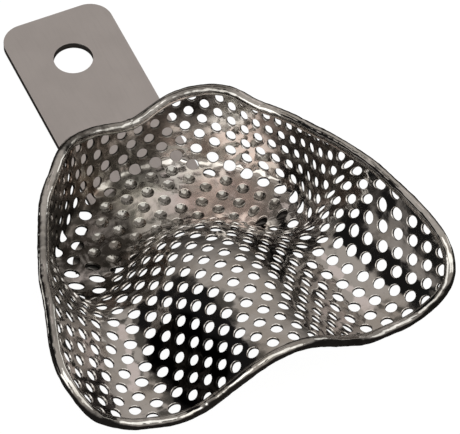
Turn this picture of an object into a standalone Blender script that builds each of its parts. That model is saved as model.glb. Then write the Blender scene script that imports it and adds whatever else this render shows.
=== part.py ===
"""Perforated upper impression tray: a pressed sheet with a border wire and a soldered handle.

Metres, +Z up. X runs across the tray with 0 on its midline, +Y runs along the handle, and Z 0 is
the underside of the handle strap. The tables below are in millimetres. Their heights are above the
strap's top face, which is where the arch plate starts.

The sheet is laid out as the flat blank with its even grid of holes, and each point of the blank is
then carried to its place on the pressed shape, so the holes spread and lean as they do in pressing.
"""

import math

import bmesh
import bpy
import numpy as np
from mathutils import Vector
from mathutils.geometry import delaunay_2d_cdt

MM = 0.001

# Handle strap
STRAP_THICK = 1.3
STRAP_HALF_WIDTH = 10.25
STRAP_END_Y = 46.0
STRAP_START_Y = -5.5
STRAP_CORNER_R = 4.2
STRAP_EDGE_BEVEL = 0.15
EASED_ANGLE = 60
HANG_HOLE_Y = 35.0
HANG_HOLE_R = 3.52
CORNER_STEPS = 6
HANG_HOLE_STEPS = 32

# Stack of soldered layers under the anterior floor, world heights
PLATE_Z = (1.6, 2.3)
SOLDER_Z = (2.5, 2.8)
PLUG_FOOT_Z = 2.65
PLUG_TOP_Z = 3.45
PLUG_R = 0.78
PLUG_SIDES = 8
PLUG_INSET = 0.75

# Sheet and its perforation
SHEET_THICK = 0.6
HOLE_R = 1.05
HOLE_SIDES = 5
PITCH_X = 3.75
PITCH_Y = 5.3
GRID_X = -0.9
GRID_Y = -5.75
HOLE_EDGE_MARGIN = 0.45
EDGE_STEP = 2.0

# Border wire
WIRE_R = 0.85
WIRE_GAP = 0.35
WIRE_DROP = 0.6
WIRE_END_GAP = 2.4
WIRE_STEP = 1.9
WIRE_SMOOTHING = 2
JOINT_GAP = 0.3
JOINT_R = 0.8
JOINT_SEGMENTS = 12
JOINT_RINGS = 8
WIRE_BEVEL_STEPS = 2

# Sections across the bowl, from front to back: crest height on the midline, height of the
# channel beside it, and distance from the midline to the channel's bottom.
SECTION_Y = (12.0, -6.5, -10.0, -14.0, -18.0, -22.0, -26.0, -30.0, -36.0, -44.0, -52.0, -62.0)
CREST_Z = (2.4, 2.4, 3.2, 8.4, 12.4, 14.6, 16.4, 17.8, 19.4, 20.4, 22.0, 23.2)
CHANNEL_Z = (2.4, 2.4, 2.4, 2.4, 3.0, 6.8, 8.7, 10.1, 10.0, 10.1, 11.0, 11.2)
CHANNEL_X = (12.5, 12.5, 12.6, 14.2, 18.2, 18.0, 18.4, 18.2, 19.2, 19.6, 19.6, 21.5)
CREST_POWER = 1.2

# Stations round the foot of the outer wall: foot x (measured to its own side), foot y, outward
# reach of the wall, height of its rim, and the radius with which the foot turns up. The left wall
# stands a little steeper than the right one.
WALL_RIGHT = (
    (0.0, 5.1, 2.5, 11.6, 0.6),
    (5.9, 4.2, 3.8, 14.7, 0.6),
    (10.4, 2.0, 4.5, 16.6, 0.7),
    (13.9, -0.3, 3.7, 17.7, 1.0),
    (16.9, -2.8, 2.2, 17.6, 1.0),
    (19.4, -5.3, 1.9, 17.6, 1.0),
    (21.2, -8.3, 2.0, 18.1, 1.0),
    (21.7, -12.3, 3.3, 19.1, 1.0),
    (20.8, -16.0, 6.0, 20.2, 1.3),
    (19.8, -20.0, 8.9, 21.0, 2.3),
    (19.0, -24.0, 11.3, 21.4, 5.0),
    (18.8, -28.2, 12.3, 21.7, 7.0),
    (19.0, -33.4, 13.0, 22.1, 10.0),
    (20.0, -38.5, 13.3, 21.8, 13.0),
    (21.6, -43.4, 12.7, 21.6, 14.0),
    (23.3, -48.2, 11.6, 20.9, 14.0),
    (25.0, -54.0, 10.6, 21.0, 12.0),
    (25.6, -60.0, 10.5, 21.0, 10.0),
)
WALL_LEFT = (
    (5.9, 4.2, 3.6, 12.9, 0.6),
    (10.4, 2.0, 3.9, 15.0, 0.7),
    (13.9, -0.3, 2.6, 17.0, 0.9),
    (16.9, -2.8, 1.5, 17.8, 0.9),
    (19.4, -5.3, 1.2, 17.7, 0.9),
    (21.2, -8.3, 1.3, 18.2, 0.9),
    (21.7, -12.3, 2.6, 18.9, 1.0),
    (20.8, -16.0, 5.3, 20.0, 1.3),
    (19.8, -20.0, 8.2, 21.0, 2.3),
    (19.0, -24.0, 10.6, 21.4, 5.0),
    (18.8, -28.2, 11.7, 21.7, 7.0),
    (19.0, -33.4, 12.6, 22.1, 10.0),
    (20.0, -38.5, 13.0, 21.8, 13.0),
    (21.6, -43.4, 12.7, 21.6, 14.0),
    (23.3, -48.2, 11.6, 20.9, 14.0),
    (25.0, -54.0, 10.6, 21.0, 12.0),
    (25.6, -60.0, 10.5, 21.0, 10.0),
)
WALL_STEPS = 12
FOOT_POINTS = 301
NORMAL_PASSES = 400
PROFILE_STEPS = 48
PROFILE_REACH = 1.25
RIM_LAST_Y = -44.0

# Back border in plan, from the end of each side wall to the midline
BACK_RIGHT = (
    (34.25, -44.0), (34.2, -46.0), (33.7, -48.0), (32.8, -49.6), (31.1, -50.4), (27.9, -50.4),
    (23.7, -50.5), (19.3, -50.9), (14.3, -52.0), (9.8, -53.9), (5.0, -55.1), (0.0, -55.8),
)
BACK_LEFT = (
    (-34.25, -44.0), (-34.0, -45.6), (-33.3, -47.6), (-32.3, -49.6), (-30.7, -50.7), (-27.7, -51.0),
    (-24.3, -52.0), (-20.9, -53.0), (-17.5, -53.9), (-12.6, -55.4), (-6.5, -56.3), (0.0, -55.8),
)
BACK_STEPS = 4

# How the sheet stretches in pressing
STRETCH_X_FLOOR = 0.965
STRETCH_X_VAULT = 0.985
STRETCH_Y_FLOOR = 0.945
STRETCH_Y_VAULT = 0.985
STRETCH_WALL = 1.025
SLOPE_SHARE_X = 1.15
SLOPE_SHARE_Y = 0.35
VAULT_RISE = 8.0
FLOOR_END_Y = -14.0
FLOOR_END_SOFT = 1.2

# Grid on which the bowl is unrolled
GRID_STEP = 0.5
GRID_HALF_X = 30.0
GRID_FRONT_Y = 8.0
GRID_BACK_Y = -62.0
GRID_MARGIN = 0.01
LAST_CELL = 1.001
UNROLL_START = 0.9
UNROLL_ROUNDS = 40
UNROLL_PULL = 0.7
FOOT_PASSES = 3
NORMAL_REACH = 0.05
INWARD_SHARE = 0.01
TINY = 1e-12
TOUCHING = 1e-6
NOWHERE = 1e9

# Crescent plate in plan
PLATE_OUTLINE = (
    (0.0, 3.9), (-3.0, 3.8), (-5.6, 3.4), (-8.6, 1.9), (-10.4, 0.4), (-12.4, -1.8), (-14.4, -3.9),
    (-16.9, -6.1), (-18.3, -8.3), (-18.6, -10.4), (-16.2, -11.8), (-14.1, -14.5), (-12.6, -14.2),
    (-10.9, -12.0), (-9.0, -10.2), (-6.0, -8.6), (-3.0, -7.7), (0.0, -7.4), (3.0, -7.7),
    (6.0, -8.6), (9.0, -10.2), (10.9, -12.0), (12.1, -14.4), (16.0, -14.9), (20.2, -14.8),
    (20.6, -13.4), (19.9, -10.8), (18.6, -8.3), (16.9, -6.1), (14.4, -3.9), (12.4, -1.8),
    (10.4, 0.4), (8.6, 1.9), (5.6, 3.4), (3.0, 3.8),
)


def monotone(keys, values, at):
    """A smooth curve through a section table that doesn't overshoot between its rows."""
    k = np.array(keys[::-1], float)
    v = np.array(values[::-1], float)
    h = np.diff(k)
    d = np.diff(v) / h
    w1 = 2 * h[1:] + h[:-1]
    w2 = h[1:] + 2 * h[:-1]
    same = d[:-1] * d[1:] > 0
    safe_a = np.where(same, d[:-1], 1.0)
    safe_b = np.where(same, d[1:], 1.0)
    m = np.zeros_like(v)
    m[1:-1] = np.where(same, (w1 + w2) / (w1 / safe_a + w2 / safe_b), 0.0)
    m[0] = d[0]
    m[-1] = d[-1]
    a = np.clip(at, k[0], k[-1])
    i = np.clip(np.searchsorted(k, a, side="right") - 1, 0, len(k) - 2)
    t = (a - k[i]) / h[i]
    start = (1 + 2 * t) * (1 - t) ** 2 * v[i] + t * (1 - t) ** 2 * h[i] * m[i]
    end = t * t * (3 - 2 * t) * v[i + 1] - t * t * (1 - t) * h[i] * m[i + 1]
    return start + end


def through(points, steps):
    """A Catmull-Rom curve through the points, with this many steps in each span."""
    p = np.array(points, float)
    t = (np.arange(steps) / steps)[:, None]
    spans = []
    for k in range(len(p) - 1):
        a = p[max(k - 1, 0)]
        b = p[k]
        c = p[k + 1]
        d = p[min(k + 2, len(p) - 1)]
        bend = (2 * a - 5 * b + 4 * c - d) * t**2 + (3 * b - a - 3 * c + d) * t**3
        spans.append(0.5 * (2 * b + (c - a) * t + bend))
    spans.append(p[-1:])
    return np.concatenate(spans)


def even(points, step, closed=False):
    """The same line with its points spaced evenly, about one step apart."""
    p = np.array(points, float)
    if closed:
        p = np.concatenate([p, p[:1]])
    run = np.concatenate([[0.0], np.cumsum(np.linalg.norm(np.diff(p, axis=0), axis=1))])
    count = int(round(run[-1] / step))
    at = np.linspace(0, run[-1], count + 1)
    if closed:
        at = at[:-1]
    return np.stack([np.interp(at, run, p[:, c]) for c in range(p.shape[1])], axis=1)


def side_normals(points):
    """Unit normals on the outer side of a line, eased so that neighbours never cross."""
    t = np.gradient(points, axis=0)
    n = np.stack([-t[:, 1], t[:, 0]], axis=1)
    n /= np.linalg.norm(n, axis=1)[:, None]
    for _ in range(NORMAL_PASSES):
        n[1:-1] = 0.25 * n[:-2] + 0.5 * n[1:-1] + 0.25 * n[2:]
    return n / np.linalg.norm(n, axis=1)[:, None]


def inside(polygon, points):
    """Which points lie inside the polygon."""
    found = np.zeros(len(points), bool)
    a = np.asarray(polygon, float)
    b = np.roll(a, -1, axis=0)
    for (ax, ay), (bx, by) in zip(a, b):
        if ay == by:
            continue
        spans = (ay > points[:, 1]) != (by > points[:, 1])
        cross = (bx - ax) * (points[:, 1] - ay) / (by - ay) + ax
        found ^= spans & (points[:, 0] < cross)
    return found


def distance_to_line(polygon, points):
    """Distance from each point to the closed polygon's nearest side."""
    a = np.asarray(polygon, float)
    d = np.roll(a, -1, axis=0) - a
    w = points[:, None, :] - a[None]
    t = np.clip((w * d).sum(2) / np.maximum((d * d).sum(1), TINY), 0, 1)
    return np.linalg.norm(w - t[..., None] * d[None], axis=2).min(1)


class Pressing:
    """The pressed shape of the sheet, and the way from the flat blank to it and back."""

    def __init__(self):
        self.unroll_bowl()
        rows = [(-r[0],) + tuple(r[1:]) for r in WALL_LEFT[::-1]] + list(WALL_RIGHT)
        foot = through(rows, WALL_STEPS)
        for _ in range(FOOT_PASSES):
            foot[1:-1] = 0.25 * foot[:-2] + 0.5 * foot[1:-1] + 0.25 * foot[2:]
        run = np.concatenate([[0.0], np.cumsum(np.hypot(*np.diff(foot[:, :2], axis=0).T))])
        at = np.linspace(0, run[-1], FOOT_POINTS)
        foot = np.stack([np.interp(at, run, foot[:, c]) for c in range(foot.shape[1])], axis=1)
        self.foot = foot[:, :2]
        self.reach = foot[:, 2]
        self.foot_normal = side_normals(self.foot)
        self.foot_z = self.bowl(self.foot[:, 0], self.foot[:, 1])
        self.foot_blank = self.flatten(self.foot)
        self.blank_normal = side_normals(self.foot_blank)
        soft = foot[:, 4]
        rise = foot[:, 3] - self.foot_z
        slope = rise / (np.sqrt(self.reach**2 + soft**2) - soft)
        self.out = np.linspace(0, PROFILE_REACH, PROFILE_STEPS)[None] * self.reach[:, None]
        curve = np.sqrt(self.out**2 + soft[:, None] ** 2) - soft[:, None]
        self.up = slope[:, None] * curve
        steps = np.hypot(np.diff(self.out), np.diff(self.up))
        zeros = np.zeros((len(steps), 1))
        self.arc = np.concatenate([zeros, np.cumsum(steps, axis=1)], axis=1) * STRETCH_WALL

    def bowl(self, x, y):
        """Height of the floor, the vault and the channels, without the outer wall."""
        crest = monotone(SECTION_Y, CREST_Z, y)
        channel = monotone(SECTION_Y, CHANNEL_Z, y)
        half = monotone(SECTION_Y, CHANNEL_X, y)
        t = np.clip(np.abs(x) / half, 0, 1) ** CREST_POWER
        return channel + (crest - channel) * 0.5 * (1 + np.cos(np.pi * t))

    def unroll_bowl(self):
        self.gx = np.arange(0, GRID_HALF_X + GRID_MARGIN, GRID_STEP)
        self.gy = np.arange(GRID_FRONT_Y, GRID_BACK_Y - GRID_MARGIN, -GRID_STEP)
        x, y = np.meshgrid(self.gx, self.gy, indexing="ij")
        z = self.bowl(x, y)
        zx = np.gradient(z, self.gx, axis=0)
        zy = np.gradient(z, self.gy, axis=1)
        on_vault = np.clip((z - monotone(SECTION_Y, CHANNEL_Z, y)) / VAULT_RISE, 0, 1)
        on_floor = 1 / (1 + np.exp(-(y - FLOOR_END_Y) / FLOOR_END_SOFT))
        stretch_x = STRETCH_X_FLOOR + (STRETCH_X_VAULT - STRETCH_X_FLOOR) * on_vault
        stretch_y = STRETCH_Y_VAULT + (STRETCH_Y_FLOOR - STRETCH_Y_VAULT) * on_floor
        a = (1 + zx**2) ** (0.5 * SLOPE_SHARE_X) * stretch_x
        b = (1 + zy**2) ** (0.5 * SLOPE_SHARE_Y) * stretch_y
        self.gu = np.zeros_like(a)
        self.gu[1:] = np.cumsum(0.5 * (a[1:] + a[:-1]), axis=0) * GRID_STEP
        self.gv = np.zeros_like(b)
        self.gv[:, 1:] = np.cumsum(0.5 * (b[:, 1:] + b[:, :-1]), axis=1) * GRID_STEP
        middle = int(np.argmin(np.abs(self.gy)))
        self.gv = -(self.gv - self.gv[:, middle : middle + 1])

    def on_grid(self, table, x, y):
        fx = np.clip(np.abs(x) / GRID_STEP, 0, len(self.gx) - LAST_CELL)
        fy = np.clip((GRID_FRONT_Y - y) / GRID_STEP, 0, len(self.gy) - LAST_CELL)
        i = fx.astype(int)
        j = fy.astype(int)
        a = fx - i
        b = fy - j
        near = table[i, j] * (1 - a) + table[i + 1, j] * a
        far = table[i, j + 1] * (1 - a) + table[i + 1, j + 1] * a
        return near * (1 - b) + far * b

    def flatten(self, plan):
        u = np.sign(plan[:, 0]) * self.on_grid(self.gu, plan[:, 0], plan[:, 1])
        v = self.on_grid(self.gv, plan[:, 0], plan[:, 1])
        return np.stack([u, v], axis=1)

    def unflatten(self, blank):
        plan = blank * UNROLL_START
        for _ in range(UNROLL_ROUNDS):
            plan = plan + UNROLL_PULL * (blank - self.flatten(plan))
            plan[:, 1] = np.clip(plan[:, 1], GRID_BACK_Y + GRID_STEP, GRID_FRONT_Y - GRID_STEP)
        return plan

    def across(self, line, normal, points):
        """Where each point lies outside a line: its station along it, and how far out it is."""
        w = points[:, None, :] - line[None]
        cross = w[..., 0] * normal[None, :, 1] - w[..., 1] * normal[None, :, 0]
        along = (w * normal[None]).sum(2)
        gap = cross[:, :-1] - cross[:, 1:]
        flat = np.abs(gap) < TINY
        t = np.where(flat, 0.5, cross[:, :-1] / np.where(flat, 1.0, gap))
        far = along[:, :-1] * (1 - t) + along[:, 1:] * t
        fits = (cross[:, :-1] * cross[:, 1:] <= 0) & (far > -TOUCHING) & (far < GRID_HALF_X)
        best = np.where(fits, far, NOWHERE)
        k = best.argmin(1)
        row = np.arange(len(points))
        found = best[row, k] < NOWHERE
        return np.where(found, k + t[row, k], 0.0), np.where(found, best[row, k], -1.0)

    def blend(self, table, station):
        i = np.clip(station.astype(int), 0, len(table) - 2)
        t = (station - i)[:, None]
        return table[i] * (1 - t) + table[i + 1] * t

    def look_up(self, value, keys, values):
        """For each row, the entry of values where keys reaches value."""
        i = np.clip((keys < value[:, None]).sum(1) - 1, 0, keys.shape[1] - 2)
        row = np.arange(len(value))
        t = (value - keys[row, i]) / (keys[row, i + 1] - keys[row, i])
        return values[row, i] * (1 - t) + values[row, i + 1] * t

    def form(self, blank):
        """Points of the blank, carried to the upper face of the pressed sheet."""
        station, far = self.across(self.foot_blank, self.blank_normal, blank)
        plan = self.unflatten(blank)
        z = self.bowl(plan[:, 0], plan[:, 1])
        on_wall = far > 0
        s = station[on_wall]
        normal = self.blend(self.foot_normal, s)
        normal /= np.linalg.norm(normal, axis=1)[:, None]
        arc = self.blend(self.arc, s)
        out = self.look_up(far[on_wall], arc, self.blend(self.out, s))
        up = self.look_up(far[on_wall], arc, self.blend(self.up, s))
        plan[on_wall] = self.blend(self.foot, s) + out[:, None] * normal
        z[on_wall] = self.blend(self.foot_z[:, None], s)[:, 0] + up
        return np.column_stack([plan, z + STRAP_THICK])

    def normals(self, blank):
        """Unit normals of the upper face, pointing up or into the bowl."""
        e = NORMAL_REACH
        du = self.form(blank + (e, 0)) - self.form(blank - (e, 0))
        dv = self.form(blank + (0, e)) - self.form(blank - (0, e))
        n = np.cross(du, dv)
        return n / np.linalg.norm(n, axis=1)[:, None]

    def to_blank(self, plan):
        plan = np.array(plan, float)
        station, far = self.across(self.foot, self.foot_normal, plan)
        blank = self.flatten(plan)
        on_wall = far > 0
        s = station[on_wall]
        normal = self.blend(self.blank_normal, s)
        normal /= np.linalg.norm(normal, axis=1)[:, None]
        arc = self.look_up(far[on_wall], self.blend(self.out, s), self.blend(self.arc, s))
        blank[on_wall] = self.blend(self.foot_blank, s) + arc[:, None] * normal
        return blank

    def outline(self):
        """The trimmed edge of the blank, a closed line that starts at the front midline."""
        top = self.look_up(self.reach, self.out, self.arc)
        rim = self.foot_blank + top[:, None] * self.blank_normal
        kept = self.foot[:, 1] + self.reach * self.foot_normal[:, 1] > RIM_LAST_Y
        back_right = self.to_blank(through(BACK_RIGHT, BACK_STEPS)[1:])
        back_left = self.to_blank(through(BACK_LEFT, BACK_STEPS)[1:])[::-1][1:]
        loop = np.concatenate([rim[kept], back_right, back_left])
        front = int(np.argmin(np.abs(rim[kept][:, 0])))
        return np.roll(loop, -front, axis=0)

    def hole_centres(self, outline):
        """The staggered grid of holes, as far as whole holes fit inside the edge."""
        low = outline.min(0)
        high = outline.max(0)
        i = np.arange(int((low[0] - GRID_X) / (PITCH_X / 2)) - 1,
                      int((high[0] - GRID_X) / (PITCH_X / 2)) + 2)
        j = np.arange(int((low[1] - GRID_Y) / (PITCH_Y / 2)) - 1,
                      int((high[1] - GRID_Y) / (PITCH_Y / 2)) + 2)
        i, j = np.meshgrid(i, j)
        kept = (i + j) % 2 == 0
        x = GRID_X + i[kept] * PITCH_X / 2
        y = GRID_Y + j[kept] * PITCH_Y / 2
        points = np.column_stack([x, y])
        points = points[inside(outline, points)]
        return points[distance_to_line(outline, points) > HOLE_R + HOLE_EDGE_MARGIN]


def clear_scene():
    for obj in list(bpy.data.objects):
        bpy.data.objects.remove(obj, do_unlink=True)


def make_collection(name):
    found = bpy.data.collections.new(name)
    bpy.context.scene.collection.children.link(found)
    return found


def metal(name, colour, roughness, metallic=1.0):
    material = bpy.data.materials.new(name)
    material.use_nodes = True
    shader = material.node_tree.nodes["Principled BSDF"]
    shader.inputs["Base Color"].default_value = (*colour, 1.0)
    shader.inputs["Roughness"].default_value = roughness
    shader.inputs["Metallic"].default_value = metallic
    material.diffuse_color = (*colour, 1.0)
    return material


def add_object(name, data, collection, material=None, parent=None):
    obj = bpy.data.objects.new(name, data)
    collection.objects.link(obj)
    if material:
        data.materials.append(material)
    if parent:
        obj.parent = parent
    return obj


def smooth(mesh):
    mesh.polygons.foreach_set("use_smooth", [True] * len(mesh.polygons))


def perforated_sheet(press, outline, centres):
    """The upper face of the sheet: the blank cut into triangles round its holes, then pressed."""
    edge = even(outline, EDGE_STEP, closed=True)
    turns = 2 * np.pi * np.arange(HOLE_SIDES) / HOLE_SIDES + np.pi / 2
    # a polygon of the same area as the round hole
    corner_r = HOLE_R * math.sqrt(2 * math.pi / (HOLE_SIDES * math.sin(2 * math.pi / HOLE_SIDES)))
    ring = corner_r * np.stack([np.cos(turns), np.sin(turns)], axis=1)
    points = [edge] + [c + ring for c in centres]
    sides = []
    owner = []
    start = 0
    for n, loop in enumerate(points):
        sides += [(start + k, start + (k + 1) % len(loop)) for k in range(len(loop))]
        owner += [n] * len(loop)
        start += len(loop)
    flat = [Vector((float(x), float(y))) for x, y in np.concatenate(points)]
    found = delaunay_2d_cdt(flat, sides, [], 1, TOUCHING)
    blank = np.array([tuple(p) for p in found[0]])
    loop_of = [owner[origins[0]] for origins in found[3]]
    faces = []
    for face in found[2]:
        rings = {loop_of[corner] for corner in face}
        if len(rings) > 1 or 0 in rings:
            faces.append(list(face))
    mesh = bpy.data.meshes.new("tray_shell")
    mesh.from_pydata((press.form(blank) * MM).tolist(), [], faces)
    smooth(mesh)
    return mesh


def wire_path(press, outline):
    """The centre line of the border wire: beside the edge, on the outer face of the sheet."""
    edge = even(outline, WIRE_STEP, closed=True)
    place = press.form(edge)
    normal = press.normals(edge)
    along = np.roll(place, -1, axis=0) - np.roll(place, 1, axis=0)
    along /= np.linalg.norm(along, axis=1)[:, None]
    inward = np.cross(normal, along)
    toward = press.form(edge + INWARD_SHARE * (edge.mean(axis=0) - edge)) - place
    inward *= np.sign((inward * toward).sum(1))[:, None]
    path = place - normal * (SHEET_THICK + WIRE_GAP + WIRE_R) + inward * WIRE_DROP
    for _ in range(WIRE_SMOOTHING):
        path = 0.25 * np.roll(path, 1, axis=0) + 0.5 * path + 0.25 * np.roll(path, -1, axis=0)
    return path


def open_ended(path, gap):
    """The closed path, cut open by this gap at its first point."""
    closed = np.concatenate([path, path[:1]])
    steps = np.linalg.norm(np.diff(closed, axis=0), axis=1)
    run = np.concatenate([[0.0], np.cumsum(steps)])
    at = np.linspace(gap / 2, run[-1] - gap / 2, len(path))
    return np.stack([np.interp(at, run, closed[:, c]) for c in range(3)], axis=1)


def round_wire(name, path, radius):
    curve = bpy.data.curves.new(name, "CURVE")
    curve.dimensions = "3D"
    curve.bevel_depth = radius * MM
    curve.bevel_resolution = WIRE_BEVEL_STEPS
    curve.use_fill_caps = True
    spline = curve.splines.new("POLY")
    spline.points.add(len(path) - 1)
    for point, place in zip(spline.points, path * MM):
        point.co = (*place, 1.0)
    return curve


def flat_plate(name, loops, thick):
    """A flat piece cut from plate, as a mesh centred on its own thickness."""
    curve = bpy.data.curves.new(name + "_outline", "CURVE")
    curve.dimensions = "2D"
    curve.fill_mode = "BOTH"
    curve.extrude = thick * MM / 2
    for loop in loops:
        spline = curve.splines.new("POLY")
        spline.use_cyclic_u = True
        spline.points.add(len(loop) - 1)
        for point, (x, y) in zip(spline.points, loop):
            point.co = (x * MM, y * MM, 0.0, 1.0)
    drawn = bpy.data.objects.new(name + "_outline", curve)
    bpy.context.scene.collection.objects.link(drawn)
    graph = bpy.context.evaluated_depsgraph_get()
    mesh = bpy.data.meshes.new_from_object(drawn.evaluated_get(graph))
    bpy.data.objects.remove(drawn, do_unlink=True)
    mesh.name = name
    shape = bmesh.new()
    shape.from_mesh(mesh)
    bmesh.ops.remove_doubles(shape, verts=shape.verts, dist=TOUCHING)
    bmesh.ops.recalc_face_normals(shape, faces=shape.faces)
    shape.to_mesh(mesh)
    shape.free()
    return mesh


def arc(centre_x, centre_y, radius, first, last, steps):
    turns = np.radians(np.linspace(first, last, steps + 1))
    return [(centre_x + radius * math.cos(t), centre_y + radius * math.sin(t)) for t in turns]


def strap_loops():
    """The strap's outline with its two rounded corners, and its hanging hole."""
    corner_x = STRAP_HALF_WIDTH - STRAP_CORNER_R
    corner_y = STRAP_END_Y - STRAP_CORNER_R
    outline = [(-STRAP_HALF_WIDTH, STRAP_START_Y), (STRAP_HALF_WIDTH, STRAP_START_Y)]
    outline += arc(corner_x, corner_y, STRAP_CORNER_R, 0, 90, CORNER_STEPS)
    outline += arc(-corner_x, corner_y, STRAP_CORNER_R, 90, 180, CORNER_STEPS)
    hole = arc(0, HANG_HOLE_Y, HANG_HOLE_R, 0, 360, HANG_HOLE_STEPS)[:-1]
    return [outline, hole]


def solder_plugs(centres):
    """One short post for each hole that the solder has risen into."""
    shape = bmesh.new()
    height = (PLUG_TOP_Z - PLUG_FOOT_Z) * MM
    for x, y in centres:
        made = bmesh.ops.create_cone(shape, cap_ends=True, segments=PLUG_SIDES,
                                     radius1=PLUG_R * MM, radius2=PLUG_R * MM, depth=height)
        middle = Vector((x * MM, y * MM, PLUG_FOOT_Z * MM + height / 2))
        bmesh.ops.translate(shape, verts=made["verts"], vec=middle)
    mesh = bpy.data.meshes.new("solder_posts")
    shape.to_mesh(mesh)
    shape.free()
    return mesh


def main():
    clear_scene()
    parts = make_collection("impression_tray")
    helpers = make_collection("impression_tray_cutters")
    root = bpy.data.objects.new("impression_tray_root", None)
    parts.objects.link(root)

    bright = metal("bright_nickel_sheet", (0.62, 0.60, 0.58), 0.12)
    wire_metal = metal("bright_nickel_wire", (0.66, 0.65, 0.63), 0.14)
    satin = metal("satin_nickel_strap", (0.44, 0.42, 0.40), 0.38)
    dull = metal("dull_nickel_plate", (0.36, 0.34, 0.33), 0.42)
    tinned = metal("tin_solder", (0.50, 0.49, 0.47), 0.28)
    drop = metal("tin_solder_drop", (0.56, 0.55, 0.53), 0.24)

    press = Pressing()
    outline = press.outline()
    centres = press.hole_centres(outline)

    shell = add_object("tray_shell", perforated_sheet(press, outline, centres), parts, bright, root)
    thickness = shell.modifiers.new("sheet_thickness", "SOLIDIFY")
    thickness.thickness = SHEET_THICK * MM
    thickness.offset = -1.0
    thickness.use_rim = True

    path = open_ended(wire_path(press, outline), WIRE_END_GAP)
    add_object("rim_wire", round_wire("rim_wire", path, WIRE_R), parts, wire_metal, root)

    joint_mesh = bpy.data.meshes.new("rim_joint_solder")
    shape = bmesh.new()
    bmesh.ops.create_uvsphere(shape, u_segments=JOINT_SEGMENTS, v_segments=JOINT_RINGS, radius=1.0)
    shape.to_mesh(joint_mesh)
    shape.free()
    smooth(joint_mesh)
    joint = add_object("rim_joint_solder", joint_mesh, parts, drop, root)
    joint.location = Vector((path[0] + path[-1]) * MM / 2)
    half_length = float(np.linalg.norm(path[0] - path[-1])) / 2 - JOINT_GAP
    joint.scale = (half_length * MM, JOINT_R * MM, JOINT_R * MM)

    strap = add_object("handle_strap", flat_plate("handle_strap", strap_loops(), STRAP_THICK),
                       parts, satin, root)
    strap.location.z = STRAP_THICK * MM / 2
    eased = strap.modifiers.new("eased_edges", "BEVEL")
    eased.width = STRAP_EDGE_BEVEL * MM
    eased.segments = 1
    eased.limit_method = "ANGLE"
    eased.angle_limit = math.radians(EASED_ANGLE)

    plate_thick = PLATE_Z[1] - PLATE_Z[0]
    plate = add_object("arch_plate", flat_plate("arch_plate", [PLATE_OUTLINE], plate_thick),
                       parts, dull, root)
    plate.location.z = (PLATE_Z[0] + PLATE_Z[1]) * MM / 2

    solder_thick = SOLDER_Z[1] - SOLDER_Z[0]
    solder = add_object("floor_solder", flat_plate("floor_solder", [PLATE_OUTLINE], solder_thick),
                        parts, tinned, root)
    solder.location.z = (SOLDER_Z[0] + SOLDER_Z[1]) * MM / 2
    placed = press.form(centres)[:, :2]
    over_plate = inside(PLATE_OUTLINE, placed)
    over_plate &= distance_to_line(PLATE_OUTLINE, placed) > PLUG_INSET
    posts = add_object("solder_posts", solder_plugs(placed[over_plate]), helpers, tinned)
    posts.hide_render = True
    posts.display_type = "WIRE"
    risen = solder.modifiers.new("risen_solder", "BOOLEAN")
    risen.operation = "UNION"
    risen.solver = "EXACT"
    risen.object = posts


main()
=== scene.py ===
"""The finished look of the perforated upper impression tray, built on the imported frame.

The frame is in metres. The tables below are in millimetres, with heights above the strap's top
face. The sheet is laid out flat with its even grid of round holes and carried to the pressed shape.
"""

import math

import bmesh
import bpy
import numpy as np
from mathutils import Matrix, Vector
from mathutils.geometry import delaunay_2d_cdt


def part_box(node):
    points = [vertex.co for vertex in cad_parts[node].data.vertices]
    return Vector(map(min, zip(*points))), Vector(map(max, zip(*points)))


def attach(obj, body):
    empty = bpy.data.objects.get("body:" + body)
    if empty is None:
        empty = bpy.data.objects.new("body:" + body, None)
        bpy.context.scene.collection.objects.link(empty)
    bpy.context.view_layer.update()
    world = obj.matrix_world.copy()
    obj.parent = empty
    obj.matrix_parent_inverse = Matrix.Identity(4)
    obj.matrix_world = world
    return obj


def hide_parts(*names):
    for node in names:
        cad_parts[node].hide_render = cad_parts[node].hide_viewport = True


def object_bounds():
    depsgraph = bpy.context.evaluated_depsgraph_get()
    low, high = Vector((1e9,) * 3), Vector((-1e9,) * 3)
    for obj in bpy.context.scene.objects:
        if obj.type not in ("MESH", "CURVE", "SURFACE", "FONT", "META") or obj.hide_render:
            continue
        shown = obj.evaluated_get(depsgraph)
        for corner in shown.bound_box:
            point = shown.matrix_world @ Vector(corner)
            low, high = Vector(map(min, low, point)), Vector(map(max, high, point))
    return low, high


MM = 0.001

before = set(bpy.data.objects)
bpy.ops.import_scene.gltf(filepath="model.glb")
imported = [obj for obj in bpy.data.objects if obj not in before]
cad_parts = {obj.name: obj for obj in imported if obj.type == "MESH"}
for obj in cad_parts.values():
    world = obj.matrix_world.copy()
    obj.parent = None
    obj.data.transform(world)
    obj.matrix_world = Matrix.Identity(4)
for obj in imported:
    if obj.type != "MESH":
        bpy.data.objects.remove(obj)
cad_low, cad_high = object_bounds()
STRAP_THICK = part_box("handle_strap")[1].z / MM
STRAP_HALF_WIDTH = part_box("handle_strap")[1].x / MM
STRAP_END_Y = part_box("handle_strap")[1].y / MM
STRAP_START_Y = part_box("handle_strap")[0].y / MM
PLATE_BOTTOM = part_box("arch_plate")[0].z / MM
PLATE_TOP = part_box("arch_plate")[1].z / MM

# Handle strap
STRAP_CORNER_R = 4.2
HANG_HOLE_Y = 35.0
HANG_HOLE_R = 3.52
CORNER_STEPS = 16
HANG_HOLE_STEPS = 64
STRAP_EDGE_BEVEL = 0.16
EASED_ANGLE = 50

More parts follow.
